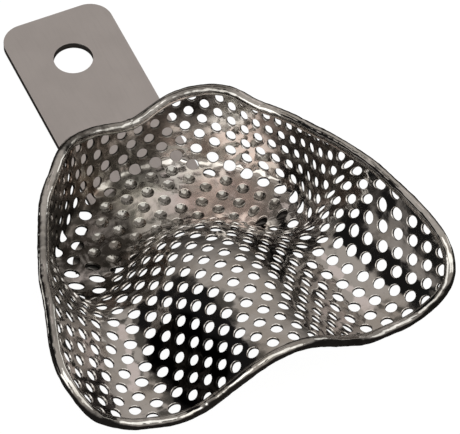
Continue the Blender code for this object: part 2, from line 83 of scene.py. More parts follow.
# Sheet and its perforation
SHEET_THICK = 0.6
HOLE_R = 1.05
HOLE_LIP = 0.11
LIP_DROP = 0.07
HOLE_SIDES = 18
PITCH_X = 3.75
PITCH_Y = 5.3
GRID_X = -0.9
GRID_Y = -5.75
HOLE_EDGE_MARGIN = -0.35
RIM_CLEAR = 0.22
EDGE_STEP = 0.8
FILL_STEP = 0.72
NORMAL_EASING = 3
FLOOR_CROWN = 0.2
FLOOR_CROWN_X = 14.0
FLOOR_CROWN_END_Y = -9.0
LIP_SLANT = 0.75
EDGE_CLEAR = 0.5
HOLE_CLEAR = 0.3
NORMAL_REACH = 0.3
TRIM_ROUNDS = 12
TRIM_STEP = 0.1
SMALLEST_HOLE_R = 0.25
TINY = 1e-12
TOUCHING = 1e-6
NOWHERE = 1e9

# The plate's inner edge, by the places of its points in the outline, and how far back it is set
# here. The shown plate is also this much thicker underneath.
INNER_EDGE = range(10, 25)
INNER_EDGE_WORN = 1.1
PLATE_SINK = 0.3

# Solder in the floor's holes
FILL_INSET = 0.75
FILL_CREEP = 1.5
INNER_EDGE_Y = -6.5
INNER_EDGE_X = 12.0
DISH_RIM = 0.10
DISH_DEPTH = 0.48
DISH_LEAN = 0.10
DISH_RINGS = 7
DISH_SIDES = 20
DISH_SPREAD = 1.03
DISH_SHALLOW = 0.85
DISH_VARIES = 0.25

# Border wire
WIRE_R = 0.98
WIRE_OUT = 0.45
WIRE_DROP = 0.40
WIRE_SIDES = 16
WIRE_STEP = 0.45
WIRE_SMOOTHING = 6
INWARD_SHARE = 0.01
LONG_LUMPS = 0.045
SHORT_LUMPS = 0.03
LONG_LUMP_LENGTHS = (7.3, 4.1, 2.7, 11.9)
SHORT_LUMP_LENGTHS = (1.9, 3.3, 1.3)
DROP_STRETCH = (1.55, 1.0, 0.96)
DROP_SWELL = 0.09
DROP_RIPPLE = 0.06

# Sections across the bowl, from front to back: crest height on the midline, height of the
# channel beside it, and distance from the midline to the channel's bottom.
SECTION_Y = (12.0, -6.5, -10.0, -14.0, -18.0, -22.0, -26.0, -30.0, -36.0, -44.0, -52.0, -62.0)
CREST_Z = (2.4, 2.4, 3.2, 8.4, 12.4, 14.6, 16.4, 17.8, 19.4, 20.4, 22.0, 23.2)
CHANNEL_Z = (2.4, 2.4, 2.4, 2.4, 3.0, 6.8, 8.7, 10.1, 10.0, 10.1, 11.0, 11.2)
CHANNEL_X = (12.5, 12.5, 12.6, 14.2, 18.2, 18.0, 18.4, 18.2, 19.2, 19.6, 19.6, 21.5)
CREST_POWER = 1.2

# Stations round the foot of the outer wall: foot x (measured to its own side), foot y, outward
# reach of the wall, height of its rim, and the radius with which the foot turns up. The left wall
# stands a little steeper than the right one.
WALL_RIGHT = (
    (0.0, 5.1, 2.5, 11.6, 0.6),
    (5.9, 4.2, 3.8, 14.7, 0.6),
    (10.4, 2.0, 4.5, 16.6, 0.7),
    (13.9, -0.3, 3.7, 17.7, 1.0),
    (16.9, -2.8, 2.2, 17.6, 1.0),
    (19.4, -5.3, 1.9, 17.6, 1.0),
    (21.2, -8.3, 2.0, 18.1, 1.0),
    (21.7, -12.3, 3.3, 19.1, 1.0),
    (20.8, -16.0, 6.0, 20.2, 1.3),
    (19.8, -20.0, 8.9, 21.0, 2.3),
    (19.0, -24.0, 11.3, 21.4, 5.0),
    (18.8, -28.2, 12.3, 21.7, 7.0),
    (19.0, -33.4, 13.0, 22.1, 10.0),
    (20.0, -38.5, 13.3, 21.8, 13.0),
    (21.6, -43.4, 12.7, 21.6, 14.0),
    (23.3, -48.2, 11.6, 20.9, 14.0),
    (25.0, -54.0, 10.6, 21.0, 12.0),
    (25.6, -60.0, 10.5, 21.0, 10.0),
)
WALL_LEFT = (
    (5.9, 4.2, 3.6, 12.9, 0.6),
    (10.4, 2.0, 3.9, 15.0, 0.7),
    (13.9, -0.3, 2.6, 17.0, 0.9),
    (16.9, -2.8, 1.5, 17.8, 0.9),
    (19.4, -5.3, 1.2, 17.7, 0.9),
    (21.2, -8.3, 1.3, 18.2, 0.9),
    (21.7, -12.3, 2.6, 18.9, 1.0),
    (20.8, -16.0, 5.3, 20.0, 1.3),
    (19.8, -20.0, 8.2, 21.0, 2.3),
    (19.0, -24.0, 10.6, 21.4, 5.0),
    (18.8, -28.2, 11.7, 21.7, 7.0),
    (19.0, -33.4, 12.6, 22.1, 10.0),
    (20.0, -38.5, 13.0, 21.8, 13.0),
    (21.6, -43.4, 12.7, 21.6, 14.0),
    (23.3, -48.2, 11.6, 20.9, 14.0),
    (25.0, -54.0, 10.6, 21.0, 12.0),
    (25.6, -60.0, 10.5, 21.0, 10.0),
)
WALL_STEPS = 12
FOOT_POINTS = 301
FOOT_PASSES = 3
NORMAL_PASSES = 400
PROFILE_STEPS = 48
PROFILE_REACH = 1.25
RIM_LAST_Y = -44.0

# Back border in plan, from the end of each side wall to the midline
BACK_RIGHT = (
    (34.25, -44.0), (34.2, -46.0), (33.7, -48.0), (32.8, -49.6), (31.1, -50.4), (27.9, -50.4),
    (23.7, -50.5), (19.3, -50.9), (14.3, -52.0), (9.8, -53.9), (5.0, -55.1), (0.0, -55.8),
)
BACK_LEFT = (
    (-34.25, -44.0), (-34.0, -45.6), (-33.3, -47.6), (-32.3, -49.6), (-30.7, -50.7), (-27.7, -51.0),
    (-24.3, -52.0), (-20.9, -53.0), (-17.5, -53.9), (-12.6, -55.4), (-6.5, -56.3), (0.0, -55.8),
)
BACK_STEPS = 4

# How the sheet stretches in pressing
STRETCH_X_FLOOR = 0.965
STRETCH_X_VAULT = 0.985
STRETCH_Y_FLOOR = 0.945
STRETCH_Y_VAULT = 0.985
STRETCH_WALL = 1.025
SLOPE_SHARE_X = 1.15
SLOPE_SHARE_Y = 0.35
VAULT_RISE = 8.0
FLOOR_END_Y = -14.0
FLOOR_END_SOFT = 1.2

# Grid on which the bowl is unrolled
GRID_STEP = 0.5
GRID_HALF_X = 30.0
GRID_FRONT_Y = 8.0
GRID_BACK_Y = -62.0
GRID_MARGIN = 0.01
LAST_CELL = 1.001
UNROLL_START = 0.9
UNROLL_ROUNDS = 40
UNROLL_PULL = 0.7

PLATE_OUTLINE = (
    (0.0, 3.9), (-3.0, 3.8), (-5.6, 3.4), (-8.6, 1.9), (-10.4, 0.4), (-12.4, -1.8), (-14.4, -3.9),
    (-16.9, -6.1), (-18.3, -8.3), (-18.6, -10.4), (-16.2, -11.8), (-14.1, -14.5), (-12.6, -14.2),
    (-10.9, -12.0), (-9.0, -10.2), (-6.0, -8.6), (-3.0, -7.7), (0.0, -7.4), (3.0, -7.7),
    (6.0, -8.6), (9.0, -10.2), (10.9, -12.0), (12.1, -14.4), (16.0, -14.9), (20.2, -14.8),
    (20.6, -13.4), (19.9, -10.8), (18.6, -8.3), (16.9, -6.1), (14.4, -3.9), (12.4, -1.8),
    (10.4, 0.4), (8.6, 1.9), (5.6, 3.4), (3.0, 3.8),
)


def monotone(keys, values, at):
    """A smooth curve through a section table that doesn't overshoot between its rows."""
    k = np.array(keys[::-1], float)
    v = np.array(values[::-1], float)
    h = np.diff(k)
    d = np.diff(v) / h
    w1 = 2 * h[1:] + h[:-1]
    w2 = h[1:] + 2 * h[:-1]
    same = d[:-1] * d[1:] > 0
    safe_a = np.where(same, d[:-1], 1.0)
    safe_b = np.where(same, d[1:], 1.0)
    m = np.zeros_like(v)
    m[1:-1] = np.where(same, (w1 + w2) / (w1 / safe_a + w2 / safe_b), 0.0)
    m[0] = d[0]
    m[-1] = d[-1]
    a = np.clip(at, k[0], k[-1])
    i = np.clip(np.searchsorted(k, a, side="right") - 1, 0, len(k) - 2)
    t = (a - k[i]) / h[i]
    start = (1 + 2 * t) * (1 - t) ** 2 * v[i] + t * (1 - t) ** 2 * h[i] * m[i]
    end = t * t * (3 - 2 * t) * v[i + 1] - t * t * (1 - t) * h[i] * m[i + 1]
    return start + end


def through(points, steps):
    """A Catmull-Rom curve through the points, with this many steps in each span."""
    p = np.array(points, float)
    t = (np.arange(steps) / steps)[:, None]
    spans = []
    for k in range(len(p) - 1):
        a = p[max(k - 1, 0)]
        b = p[k]
        c = p[k + 1]
        d = p[min(k + 2, len(p) - 1)]
        bend = (2 * a - 5 * b + 4 * c - d) * t**2 + (3 * b - a - 3 * c + d) * t**3
        spans.append(0.5 * (2 * b + (c - a) * t + bend))
    spans.append(p[-1:])
    return np.concatenate(spans)


def even(points, step, closed=False):
    """The same line with its points spaced evenly, about one step apart."""
    p = np.array(points, float)
    if closed:
        p = np.concatenate([p, p[:1]])
    run = np.concatenate([[0.0], np.cumsum(np.linalg.norm(np.diff(p, axis=0), axis=1))])
    count = int(round(run[-1] / step))
    at = np.linspace(0, run[-1], count + 1)
    if closed:
        at = at[:-1]
    return np.stack([np.interp(at, run, p[:, c]) for c in range(p.shape[1])], axis=1)


def side_normals(points):
    """Unit normals on the outer side of a line, eased so that neighbours never cross."""
    t = np.gradient(points, axis=0)
    n = np.stack([-t[:, 1], t[:, 0]], axis=1)
    n /= np.linalg.norm(n, axis=1)[:, None]
    for _ in range(NORMAL_PASSES):
        n[1:-1] = 0.25 * n[:-2] + 0.5 * n[1:-1] + 0.25 * n[2:]
    return n / np.linalg.norm(n, axis=1)[:, None]


def inside(polygon, points):
    """Which points lie inside the polygon."""
    found = np.zeros(len(points), bool)
    a = np.asarray(polygon, float)
    b = np.roll(a, -1, axis=0)
    for (ax, ay), (bx, by) in zip(a, b):
        if ay == by:
            continue
        spans = (ay > points[:, 1]) != (by > points[:, 1])
        cross = (bx - ax) * (points[:, 1] - ay) / (by - ay) + ax
        found ^= spans & (points[:, 0] < cross)
    return found


def distance_to_line(polygon, points):
    """Distance from each point to the closed polygon's nearest side."""
    a = np.asarray(polygon, float)
    d = np.roll(a, -1, axis=0) - a
    w = points[:, None, :] - a[None]
    t = np.clip((w * d).sum(2) / np.maximum((d * d).sum(1), TINY), 0, 1)
    return np.linalg.norm(w - t[..., None] * d[None], axis=2).min(1)


class Pressing:
    """The pressed shape of the sheet, and the way from the flat blank to it and back."""

    def __init__(self):
        self.unroll_bowl()
        rows = [(-r[0],) + tuple(r[1:]) for r in WALL_LEFT[::-1]] + list(WALL_RIGHT)
        foot = through(rows, WALL_STEPS)
        for _ in range(FOOT_PASSES):
            foot[1:-1] = 0.25 * foot[:-2] + 0.5 * foot[1:-1] + 0.25 * foot[2:]
        run = np.concatenate([[0.0], np.cumsum(np.hypot(*np.diff(foot[:, :2], axis=0).T))])
        at = np.linspace(0, run[-1], FOOT_POINTS)
        foot = np.stack([np.interp(at, run, foot[:, c]) for c in range(foot.shape[1])], axis=1)
        self.foot = foot[:, :2]
        self.reach = foot[:, 2]
        self.foot_normal = side_normals(self.foot)
        self.foot_z = self.bowl(self.foot[:, 0], self.foot[:, 1])
        self.foot_blank = self.flatten(self.foot)
        self.blank_normal = side_normals(self.foot_blank)
        soft = foot[:, 4]
        rise = foot[:, 3] - self.foot_z
        slope = rise / (np.sqrt(self.reach**2 + soft**2) - soft)
        self.out = np.linspace(0, PROFILE_REACH, PROFILE_STEPS)[None] * self.reach[:, None]
        curve = np.sqrt(self.out**2 + soft[:, None] ** 2) - soft[:, None]
        self.up = slope[:, None] * curve
        steps = np.hypot(np.diff(self.out), np.diff(self.up))
        zeros = np.zeros((len(steps), 1))
        self.arc = np.concatenate([zeros, np.cumsum(steps, axis=1)], axis=1) * STRETCH_WALL

    def bowl(self, x, y):
        """Height of the floor, the vault and the channels, without the outer wall."""
        crest = monotone(SECTION_Y, CREST_Z, y)
        channel = monotone(SECTION_Y, CHANNEL_Z, y)
        half = monotone(SECTION_Y, CHANNEL_X, y)
        t = np.clip(np.abs(x) / half, 0, 1) ** CREST_POWER
        on_floor = 1 / (1 + np.exp(-(y - FLOOR_CROWN_END_Y) / FLOOR_END_SOFT))
        crown = 1 - np.cos(np.pi * np.clip(np.abs(x) / FLOOR_CROWN_X, 0, 1))
        bowed = channel - FLOOR_CROWN * crown * on_floor
        return bowed + (crest - channel) * 0.5 * (1 + np.cos(np.pi * t))

    def unroll_bowl(self):
        self.gx = np.arange(0, GRID_HALF_X + GRID_MARGIN, GRID_STEP)
        self.gy = np.arange(GRID_FRONT_Y, GRID_BACK_Y - GRID_MARGIN, -GRID_STEP)
        x, y = np.meshgrid(self.gx, self.gy, indexing="ij")
        z = self.bowl(x, y)
        zx = np.gradient(z, self.gx, axis=0)
        zy = np.gradient(z, self.gy, axis=1)
        on_vault = np.clip((z - monotone(SECTION_Y, CHANNEL_Z, y)) / VAULT_RISE, 0, 1)
        on_floor = 1 / (1 + np.exp(-(y - FLOOR_END_Y) / FLOOR_END_SOFT))
        stretch_x = STRETCH_X_FLOOR + (STRETCH_X_VAULT - STRETCH_X_FLOOR) * on_vault
        stretch_y = STRETCH_Y_VAULT + (STRETCH_Y_FLOOR - STRETCH_Y_VAULT) * on_floor
        a = (1 + zx**2) ** (0.5 * SLOPE_SHARE_X) * stretch_x
        b = (1 + zy**2) ** (0.5 * SLOPE_SHARE_Y) * stretch_y
        self.gu = np.zeros_like(a)
        self.gu[1:] = np.cumsum(0.5 * (a[1:] + a[:-1]), axis=0) * GRID_STEP
        self.gv = np.zeros_like(b)
        self.gv[:, 1:] = np.cumsum(0.5 * (b[:, 1:] + b[:, :-1]), axis=1) * GRID_STEP
        middle = int(np.argmin(np.abs(self.gy)))
        self.gv = -(self.gv - self.gv[:, middle : middle + 1])

    def on_grid(self, table, x, y):
        fx = np.clip(np.abs(x) / GRID_STEP, 0, len(self.gx) - LAST_CELL)
        fy = np.clip((GRID_FRONT_Y - y) / GRID_STEP, 0, len(self.gy) - LAST_CELL)
        i = fx.astype(int)
        j = fy.astype(int)
        a = fx - i
        b = fy - j
        near = table[i, j] * (1 - a) + table[i + 1, j] * a
        far = table[i, j + 1] * (1 - a) + table[i + 1, j + 1] * a
        return near * (1 - b) + far * b

    def flatten(self, plan):
        u = np.sign(plan[:, 0]) * self.on_grid(self.gu, plan[:, 0], plan[:, 1])
        v = self.on_grid(self.gv, plan[:, 0], plan[:, 1])
        return np.stack([u, v], axis=1)

    def unflatten(self, blank):
        plan = blank * UNROLL_START
        for _ in range(UNROLL_ROUNDS):
            plan = plan + UNROLL_PULL * (blank - self.flatten(plan))
            plan[:, 1] = np.clip(plan[:, 1], GRID_BACK_Y + GRID_STEP, GRID_FRONT_Y - GRID_STEP)
        return plan

    def across(self, line, normal, points):
        """Where each point lies outside a line: its station along it, and how far out it is."""
        w = points[:, None, :] - line[None]
        cross = w[..., 0] * normal[None, :, 1] - w[..., 1] * normal[None, :, 0]
        along = (w * normal[None]).sum(2)
        gap = cross[:, :-1] - cross[:, 1:]
        flat = np.abs(gap) < TINY
        t = np.where(flat, 0.5, cross[:, :-1] / np.where(flat, 1.0, gap))
        far = along[:, :-1] * (1 - t) + along[:, 1:] * t
        fits = (cross[:, :-1] * cross[:, 1:] <= 0) & (far > -TOUCHING) & (far < GRID_HALF_X)
        best = np.where(fits, far, NOWHERE)
        k = best.argmin(1)
        row = np.arange(len(points))
        found = best[row, k] < NOWHERE
        return np.where(found, k + t[row, k], 0.0), np.where(found, best[row, k], -1.0)

    def blend(self, table, station):
        i = np.clip(station.astype(int), 0, len(table) - 2)
        t = (station - i)[:, None]
        return table[i] * (1 - t) + table[i + 1] * t

    def look_up(self, value, keys, values):
        """For each row, the entry of values where keys reaches value."""
        i = np.clip((keys < value[:, None]).sum(1) - 1, 0, keys.shape[1] - 2)
        row = np.arange(len(value))
        t = (value - keys[row, i]) / (keys[row, i + 1] - keys[row, i])
        return values[row, i] * (1 - t) + values[row, i + 1] * t

    def form(self, blank):
        """Points of the blank, carried to the upper face of the pressed sheet."""
        station, far = self.across(self.foot_blank, self.blank_normal, blank)
        plan = self.unflatten(blank)
        z = self.bowl(plan[:, 0], plan[:, 1])
        on_wall = far > 0
        s = station[on_wall]
        normal = self.blend(self.foot_normal, s)
        normal /= np.linalg.norm(normal, axis=1)[:, None]
        arc = self.blend(self.arc, s)
        out = self.look_up(far[on_wall], arc, self.blend(self.out, s))
        up = self.look_up(far[on_wall], arc, self.blend(self.up, s))
        plan[on_wall] = self.blend(self.foot, s) + out[:, None] * normal
        z[on_wall] = self.blend(self.foot_z[:, None], s)[:, 0] + up
        return np.column_stack([plan, z + STRAP_THICK])

    def normals(self, blank):
        """Unit normals of the upper face, pointing up or into the bowl."""
        e = NORMAL_REACH
        du = self.form(blank + (e, 0)) - self.form(blank - (e, 0))
        dv = self.form(blank + (0, e)) - self.form(blank - (0, e))
        n = np.cross(du, dv)
        return n / np.linalg.norm(n, axis=1)[:, None]

    def to_blank(self, plan):
        plan = np.array(plan, float)
        station, far = self.across(self.foot, self.foot_normal, plan)
        blank = self.flatten(plan)
        on_wall = far > 0
        s = station[on_wall]
        normal = self.blend(self.blank_normal, s)
        normal /= np.linalg.norm(normal, axis=1)[:, None]
        arc = self.look_up(far[on_wall], self.blend(self.out, s), self.blend(self.arc, s))
        blank[on_wall] = self.blend(self.foot_blank, s) + arc[:, None] * normal
        return blank

    def outline(self):
        """The trimmed edge of the blank, a closed line that starts at the front midline."""
        top = self.look_up(self.reach, self.out, self.arc)
        rim = self.foot_blank + top[:, None] * self.blank_normal
        kept = self.foot[:, 1] + self.reach * self.foot_normal[:, 1] > RIM_LAST_Y
        back_right = self.to_blank(through(BACK_RIGHT, BACK_STEPS)[1:])
        back_left = self.to_blank(through(BACK_LEFT, BACK_STEPS)[1:])[::-1][1:]
        loop = np.concatenate([rim[kept], back_right, back_left])
        front = int(np.argmin(np.abs(rim[kept][:, 0])))
        return np.roll(loop, -front, axis=0)

    def hole_centres(self, outline):
        """The staggered grid of holes, except those whose centre is almost on the edge."""
        low = outline.min(0)
        high = outline.max(0)
        i = np.arange(int((low[0] - GRID_X) / (PITCH_X / 2)) - 1,
                      int((high[0] - GRID_X) / (PITCH_X / 2)) + 2)
        j = np.arange(int((low[1] - GRID_Y) / (PITCH_Y / 2)) - 1,
                      int((high[1] - GRID_Y) / (PITCH_Y / 2)) + 2)
        i, j = np.meshgrid(i, j)
        kept = (i + j) % 2 == 0
        x = GRID_X + i[kept] * PITCH_X / 2
        y = GRID_Y + j[kept] * PITCH_Y / 2
        points = np.column_stack([x, y])
        points = points[inside(outline, points)]
        return points[distance_to_line(outline, points) > HOLE_R + HOLE_EDGE_MARGIN]


def trimmed_rings(outline, centres):
    """Rings of points round each hole. Where the rim cuts a hole, the ring follows the rim."""
    turns = 2 * np.pi * np.arange(HOLE_SIDES) / HOLE_SIDES
    ray = np.stack([np.cos(turns), np.sin(turns)], axis=1)
    radius = np.full((len(centres), HOLE_SIDES), HOLE_R)
    for _ in range(TRIM_ROUNDS):
        points = (centres[:, None, :] + (radius + HOLE_LIP)[..., None] * ray[None]).reshape(-1, 2)
        bad = ~inside(outline, points) | (distance_to_line(outline, points) < RIM_CLEAR)
        radius -= TRIM_STEP * bad.reshape(radius.shape)
    whole = radius.min(1) > SMALLEST_HOLE_R
    centres = centres[whole]
    radius = radius[whole]
    inner = centres[:, None, :] + radius[..., None] * ray[None]
    outer = centres[:, None, :] + (radius + HOLE_LIP)[..., None] * ray[None]
    return centres, inner, outer


def eased_normals(up, faces):
    """Normals blended with those next to them, so that the creases read as rounded bends."""
    pairs = np.array([(f[k], f[(k + 1) % len(f)]) for f in faces for k in range(len(f))])
    for _ in range(NORMAL_EASING):
        total = up.copy()
        count = np.ones(len(up))
        for a, b in ((0, 1), (1, 0)):
            np.add.at(total, pairs[:, a], up[pairs[:, b]])
            np.add.at(count, pairs[:, a], 1)
        up = total / count[:, None]
        up /= np.linalg.norm(up, axis=1)[:, None]
    return up


def sheet_mesh(press, outline, centres):
    """The pressed sheet with both faces, the rounded lip of every hole, and true face normals."""
    edge = even(outline, EDGE_STEP, closed=True)
    x, y = edge[:, 0], edge[:, 1]
    if np.sum(x * np.roll(y, -1) - np.roll(x, -1) * y) < 0:
        edge = edge[::-1]
    centres, inner, outer = trimmed_rings(outline, centres)
    low = outline.min(0)
    high = outline.max(0)
    fill = np.stack(np.meshgrid(np.arange(low[0], high[0], FILL_STEP),
                                np.arange(low[1], high[1], FILL_STEP)), axis=-1).reshape(-1, 2)
    fill = fill[inside(outline, fill)]
    fill = fill[distance_to_line(outline, fill) > EDGE_CLEAR]
    gap = np.linalg.norm(fill[:, None, :] - centres[None], axis=2).min(1)
    fill = fill[gap > HOLE_R + HOLE_LIP + HOLE_CLEAR]
    loops = [edge] + list(outer)
    sides = []
    owner = []
    start = 0
    for n, loop in enumerate(loops):
        sides += [(start + k, start + (k + 1) % len(loop)) for k in range(len(loop))]
        owner += [n] * len(loop)
        start += len(loop)
    points = np.concatenate(loops + [fill])
    owner += [-1] * len(fill)
    flat = [Vector((float(a), float(b))) for a, b in points]
    found = delaunay_2d_cdt(flat, sides, [], 1, 1e-6)
    blank = np.array([tuple(p) for p in found[0]])
    new_of = {}
    for new, origins in enumerate(found[3]):
        for origin in origins:
            new_of[origin] = new
    loop_of = [owner[origins[0]] if origins else -1 for origins in found[3]]
    top_faces = []
    for face in found[2]:
        rings = {loop_of[c] for c in face}
        if len(rings) == 1 and min(rings) > 0:
            continue
        top_faces.append(list(face))
    top = press.form(blank)
    up = eased_normals(press.normals(blank), top_faces)
    bottom = top - SHEET_THICK * up
    flat_inner = inner.reshape(-1, 2)
    lip = press.form(flat_inner)
    lip_up = press.normals(flat_inner)
    middle = press.form(np.repeat(centres, HOLE_SIDES, axis=0))
    toward = middle - lip
    toward -= (toward * lip_up).sum(1)[:, None] * lip_up
    toward /= np.linalg.norm(toward, axis=1)[:, None] + 1e-9
    lip_top = lip - LIP_DROP * lip_up
    lip_low = lip - (SHEET_THICK - LIP_DROP) * lip_up
    n_top = len(top)
    n_lip = len(lip)
    verts = np.concatenate([top, bottom, lip_top, lip_low])
    a0 = 2 * n_top
    b0 = a0 + n_lip
    faces = []
    normals = []
    for face in top_faces:
        faces.append(face)
        normals += [up[c] for c in face]
        faces.append([c + n_top for c in face[::-1]])
        normals += [-up[c] for c in face[::-1]]
    over = lip_up * LIP_SLANT + toward
    over /= np.linalg.norm(over, axis=1)[:, None]
    under = -lip_up * LIP_SLANT + toward
    under /= np.linalg.norm(under, axis=1)[:, None]
    edge_count = len(edge)
    for h in range(len(centres)):
        for k in range(HOLE_SIDES):
            j = (k + 1) % HOLE_SIDES
            p = new_of[edge_count + h * HOLE_SIDES + k]
            q = new_of[edge_count + h * HOLE_SIDES + j]
            a = h * HOLE_SIDES + k
            b = h * HOLE_SIDES + j
            faces.append([p, q, a0 + b, a0 + a])
            normals += [up[p], up[q], over[b], over[a]]
            faces.append([a0 + a, a0 + b, b0 + b, b0 + a])
            normals += [over[a], over[b], under[b], under[a]]
            faces.append([b0 + a, b0 + b, n_top + q, n_top + p])
            normals += [under[a], under[b], -up[q], -up[p]]
    for k in range(edge_count):
        p = new_of[k]
        q = new_of[(k + 1) % edge_count]
        side = np.cross(top[p] - top[q], -up[p])
        side = side / (np.linalg.norm(side) + 1e-9)
        faces.append([q, p, n_top + p, n_top + q])
        normals += [side] * 4
    mesh = bpy.data.meshes.new("tray_sheet")
    mesh.from_pydata((verts * MM).tolist(), [], faces)
    mesh.polygons.foreach_set("use_smooth", [True] * len(mesh.polygons))
    mesh.normals_split_custom_set([tuple(n) for n in normals])
    return mesh


def wire_path(press, outline):
    """The centre line of the border wire as it lies soldered against the edge of the sheet."""
    edge = even(outline, WIRE_STEP, closed=True)
    place = press.form(edge)
    normal = press.normals(edge)
    along = np.roll(place, -1, axis=0) - np.roll(place, 1, axis=0)
    along /= np.linalg.norm(along, axis=1)[:, None]
    inward = np.cross(normal, along)
    toward = press.form(edge + INWARD_SHARE * (edge.mean(axis=0) - edge)) - place
    inward *= np.sign((inward * toward).sum(1))[:, None]
    path = place - normal * WIRE_OUT + inward * WIRE_DROP
    for _ in range(WIRE_SMOOTHING):
        path = 0.25 * np.roll(path, 1, axis=0) + 0.5 * path + 0.25 * np.roll(path, -1, axis=0)
    return path, -normal


def waves(at, seed, lengths):
    """A smooth uneven value along a line, from a few waves with unrelated lengths."""
    total = np.zeros_like(at)
    for n, length in enumerate(lengths):
        total += np.sin(2 * np.pi * at / length + seed * (n + 1.7) * 2.3)
    return total / len(lengths)


def wire_mesh(path, outward):
    """The bead: a round wire, uneven where solder has run along it, closed round the tray."""
    steps = np.linalg.norm(np.roll(path, -1, axis=0) - path, axis=1)
    run = np.concatenate([[0.0], np.cumsum(steps)[:-1]])
    along = np.roll(path, -1, axis=0) - np.roll(path, 1, axis=0)
    along /= np.linalg.norm(along, axis=1)[:, None]
    side = outward - (outward * along).sum(1)[:, None] * along
    side /= np.linalg.norm(side, axis=1)[:, None]
    other = np.cross(along, side)
    count = len(path)
    verts = []
    for k in range(WIRE_SIDES):
        t = 2 * math.pi * k / WIRE_SIDES
        lumps = LONG_LUMPS * waves(run, 1.0 + math.cos(t), LONG_LUMP_LENGTHS)
        lumps += SHORT_LUMPS * waves(run, 3.0 + math.sin(t), SHORT_LUMP_LENGTHS)
        radius = WIRE_R * (1 + lumps)
        verts.append(path + (math.cos(t) * side + math.sin(t) * other) * radius[:, None])
    verts = np.stack(verts, axis=1).reshape(-1, 3)
    faces = []
    for i in range(count):
        j = (i + 1) % count
        for k in range(WIRE_SIDES):
            m = (k + 1) % WIRE_SIDES
            faces.append([i * WIRE_SIDES + k, i * WIRE_SIDES + m,
                          j * WIRE_SIDES + m, j * WIRE_SIDES + k])
    mesh = bpy.data.meshes.new("border_wire")
    mesh.from_pydata((verts * MM).tolist(), [], faces)
    shape = bmesh.new()
    shape.from_mesh(mesh)
    bmesh.ops.recalc_face_normals(shape, faces=shape.faces)
    shape.to_mesh(mesh)
    shape.free()
    mesh.polygons.foreach_set("use_smooth", [True] * len(mesh.polygons))
    return mesh


def flat_mesh(name, loops, thick):
    """A flat piece cut from plate, centred on its own thickness."""
    curve = bpy.data.curves.new(name + "_outline", "CURVE")
    curve.dimensions = "2D"
    curve.fill_mode = "BOTH"
    curve.extrude = thick * MM / 2
    for loop in loops:
        spline = curve.splines.new("POLY")
        spline.use_cyclic_u = True
        spline.points.add(len(loop) - 1)
        for point, (x, y) in zip(spline.points, loop):
            point.co = (x * MM, y * MM, 0.0, 1.0)
    drawn = bpy.data.objects.new(name + "_outline", curve)
    bpy.context.scene.collection.objects.link(drawn)
    graph = bpy.context.evaluated_depsgraph_get()
    mesh = bpy.data.meshes.new_from_object(drawn.evaluated_get(graph))
    bpy.data.objects.remove(drawn, do_unlink=True)
    mesh.name = name
    shape = bmesh.new()
    shape.from_mesh(mesh)
    bmesh.ops.remove_doubles(shape, verts=shape.verts, dist=1e-7)
    bmesh.ops.recalc_face_normals(shape, faces=shape.faces)
    shape.to_mesh(mesh)
    shape.free()
    return mesh


def arc(centre_x, centre_y, radius, first, last, steps):
    turns = np.radians(np.linspace(first, last, steps + 1))
    return [(centre_x + radius * math.cos(t), centre_y + radius * math.sin(t)) for t in turns]


def strap_loops():
    corner_x = STRAP_HALF_WIDTH - STRAP_CORNER_R
    corner_y = STRAP_END_Y - STRAP_CORNER_R
    outline = [(-STRAP_HALF_WIDTH, STRAP_START_Y), (STRAP_HALF_WIDTH, STRAP_START_Y)]
    outline += arc(corner_x, corner_y, STRAP_CORNER_R, 0, 90, CORNER_STEPS)
    outline += arc(-corner_x, corner_y, STRAP_CORNER_R, 90, 180, CORNER_STEPS)
    hole = arc(0, HANG_HOLE_Y, HANG_HOLE_R, 0, 360, HANG_HOLE_STEPS)[:-1]
    return [outline, hole]


def solder_mesh(press, centres, base_top):
    """Solder drawn up into the holes over the plate: a dished surface in each."""
    rings = DISH_RINGS
    sides = DISH_SIDES
    verts = []
    faces = []
    for n, (u, v) in enumerate(centres):
        here = press.form(np.array([[u, v]]))[0]
        up = press.normals(np.array([[u, v]]))[0]
        turns = 2 * np.pi * np.arange(sides) / sides
        ring = np.stack([np.cos(turns), np.sin(turns)], axis=1) * HOLE_R * DISH_SPREAD
        rim = press.form(np.array([[u, v]]) + ring)
        depth = DISH_DEPTH * (DISH_SHALLOW + DISH_VARIES * math.sin(n * 2.4))
        lean = DISH_LEAN * np.array([math.sin(n * 1.3), math.cos(n * 2.1), 0.0])
        start = len(verts)
        for r in range(rings):
            share = 1 - r / rings
            drop = DISH_RIM + depth * (1 - share**2)
            for p in rim:
                verts.append(here + (p - here) * share - up * drop + lean * (1 - share))
        verts.append(here - up * (DISH_RIM + depth) + lean)
        tip = len(verts) - 1
        foot = len(verts)
        for p in rim:
            verts.append(np.array([p[0], p[1], base_top]))
        verts.append(np.array([here[0], here[1], base_top]))
        for k in range(sides):
            j = (k + 1) % sides
            for r in range(rings - 1):
                a = start + r * sides
                b = a + sides
                faces.append([a + k, a + j, b + j, b + k])
            last = start + (rings - 1) * sides
            faces.append([last + k, last + j, tip])
            faces.append([start + j, start + k, foot + k, foot + j])
            faces.append([foot + j, foot + k, foot + sides])
    mesh = bpy.data.meshes.new("risen_solder")
    mesh.from_pydata((np.array(verts) * MM).tolist(), [], faces)
    mesh.polygons.foreach_set("use_smooth", [True] * len(mesh.polygons))
    mesh.set_sharp_from_angle(angle=math.radians(EASED_ANGLE))
    return mesh


# ---------------------------------------------------------------- materials

def new_material(name):
    material = bpy.data.materials.new(name)
    material.use_nodes = True
    tree = material.node_tree
    return material, tree, tree.nodes["Principled BSDF"]


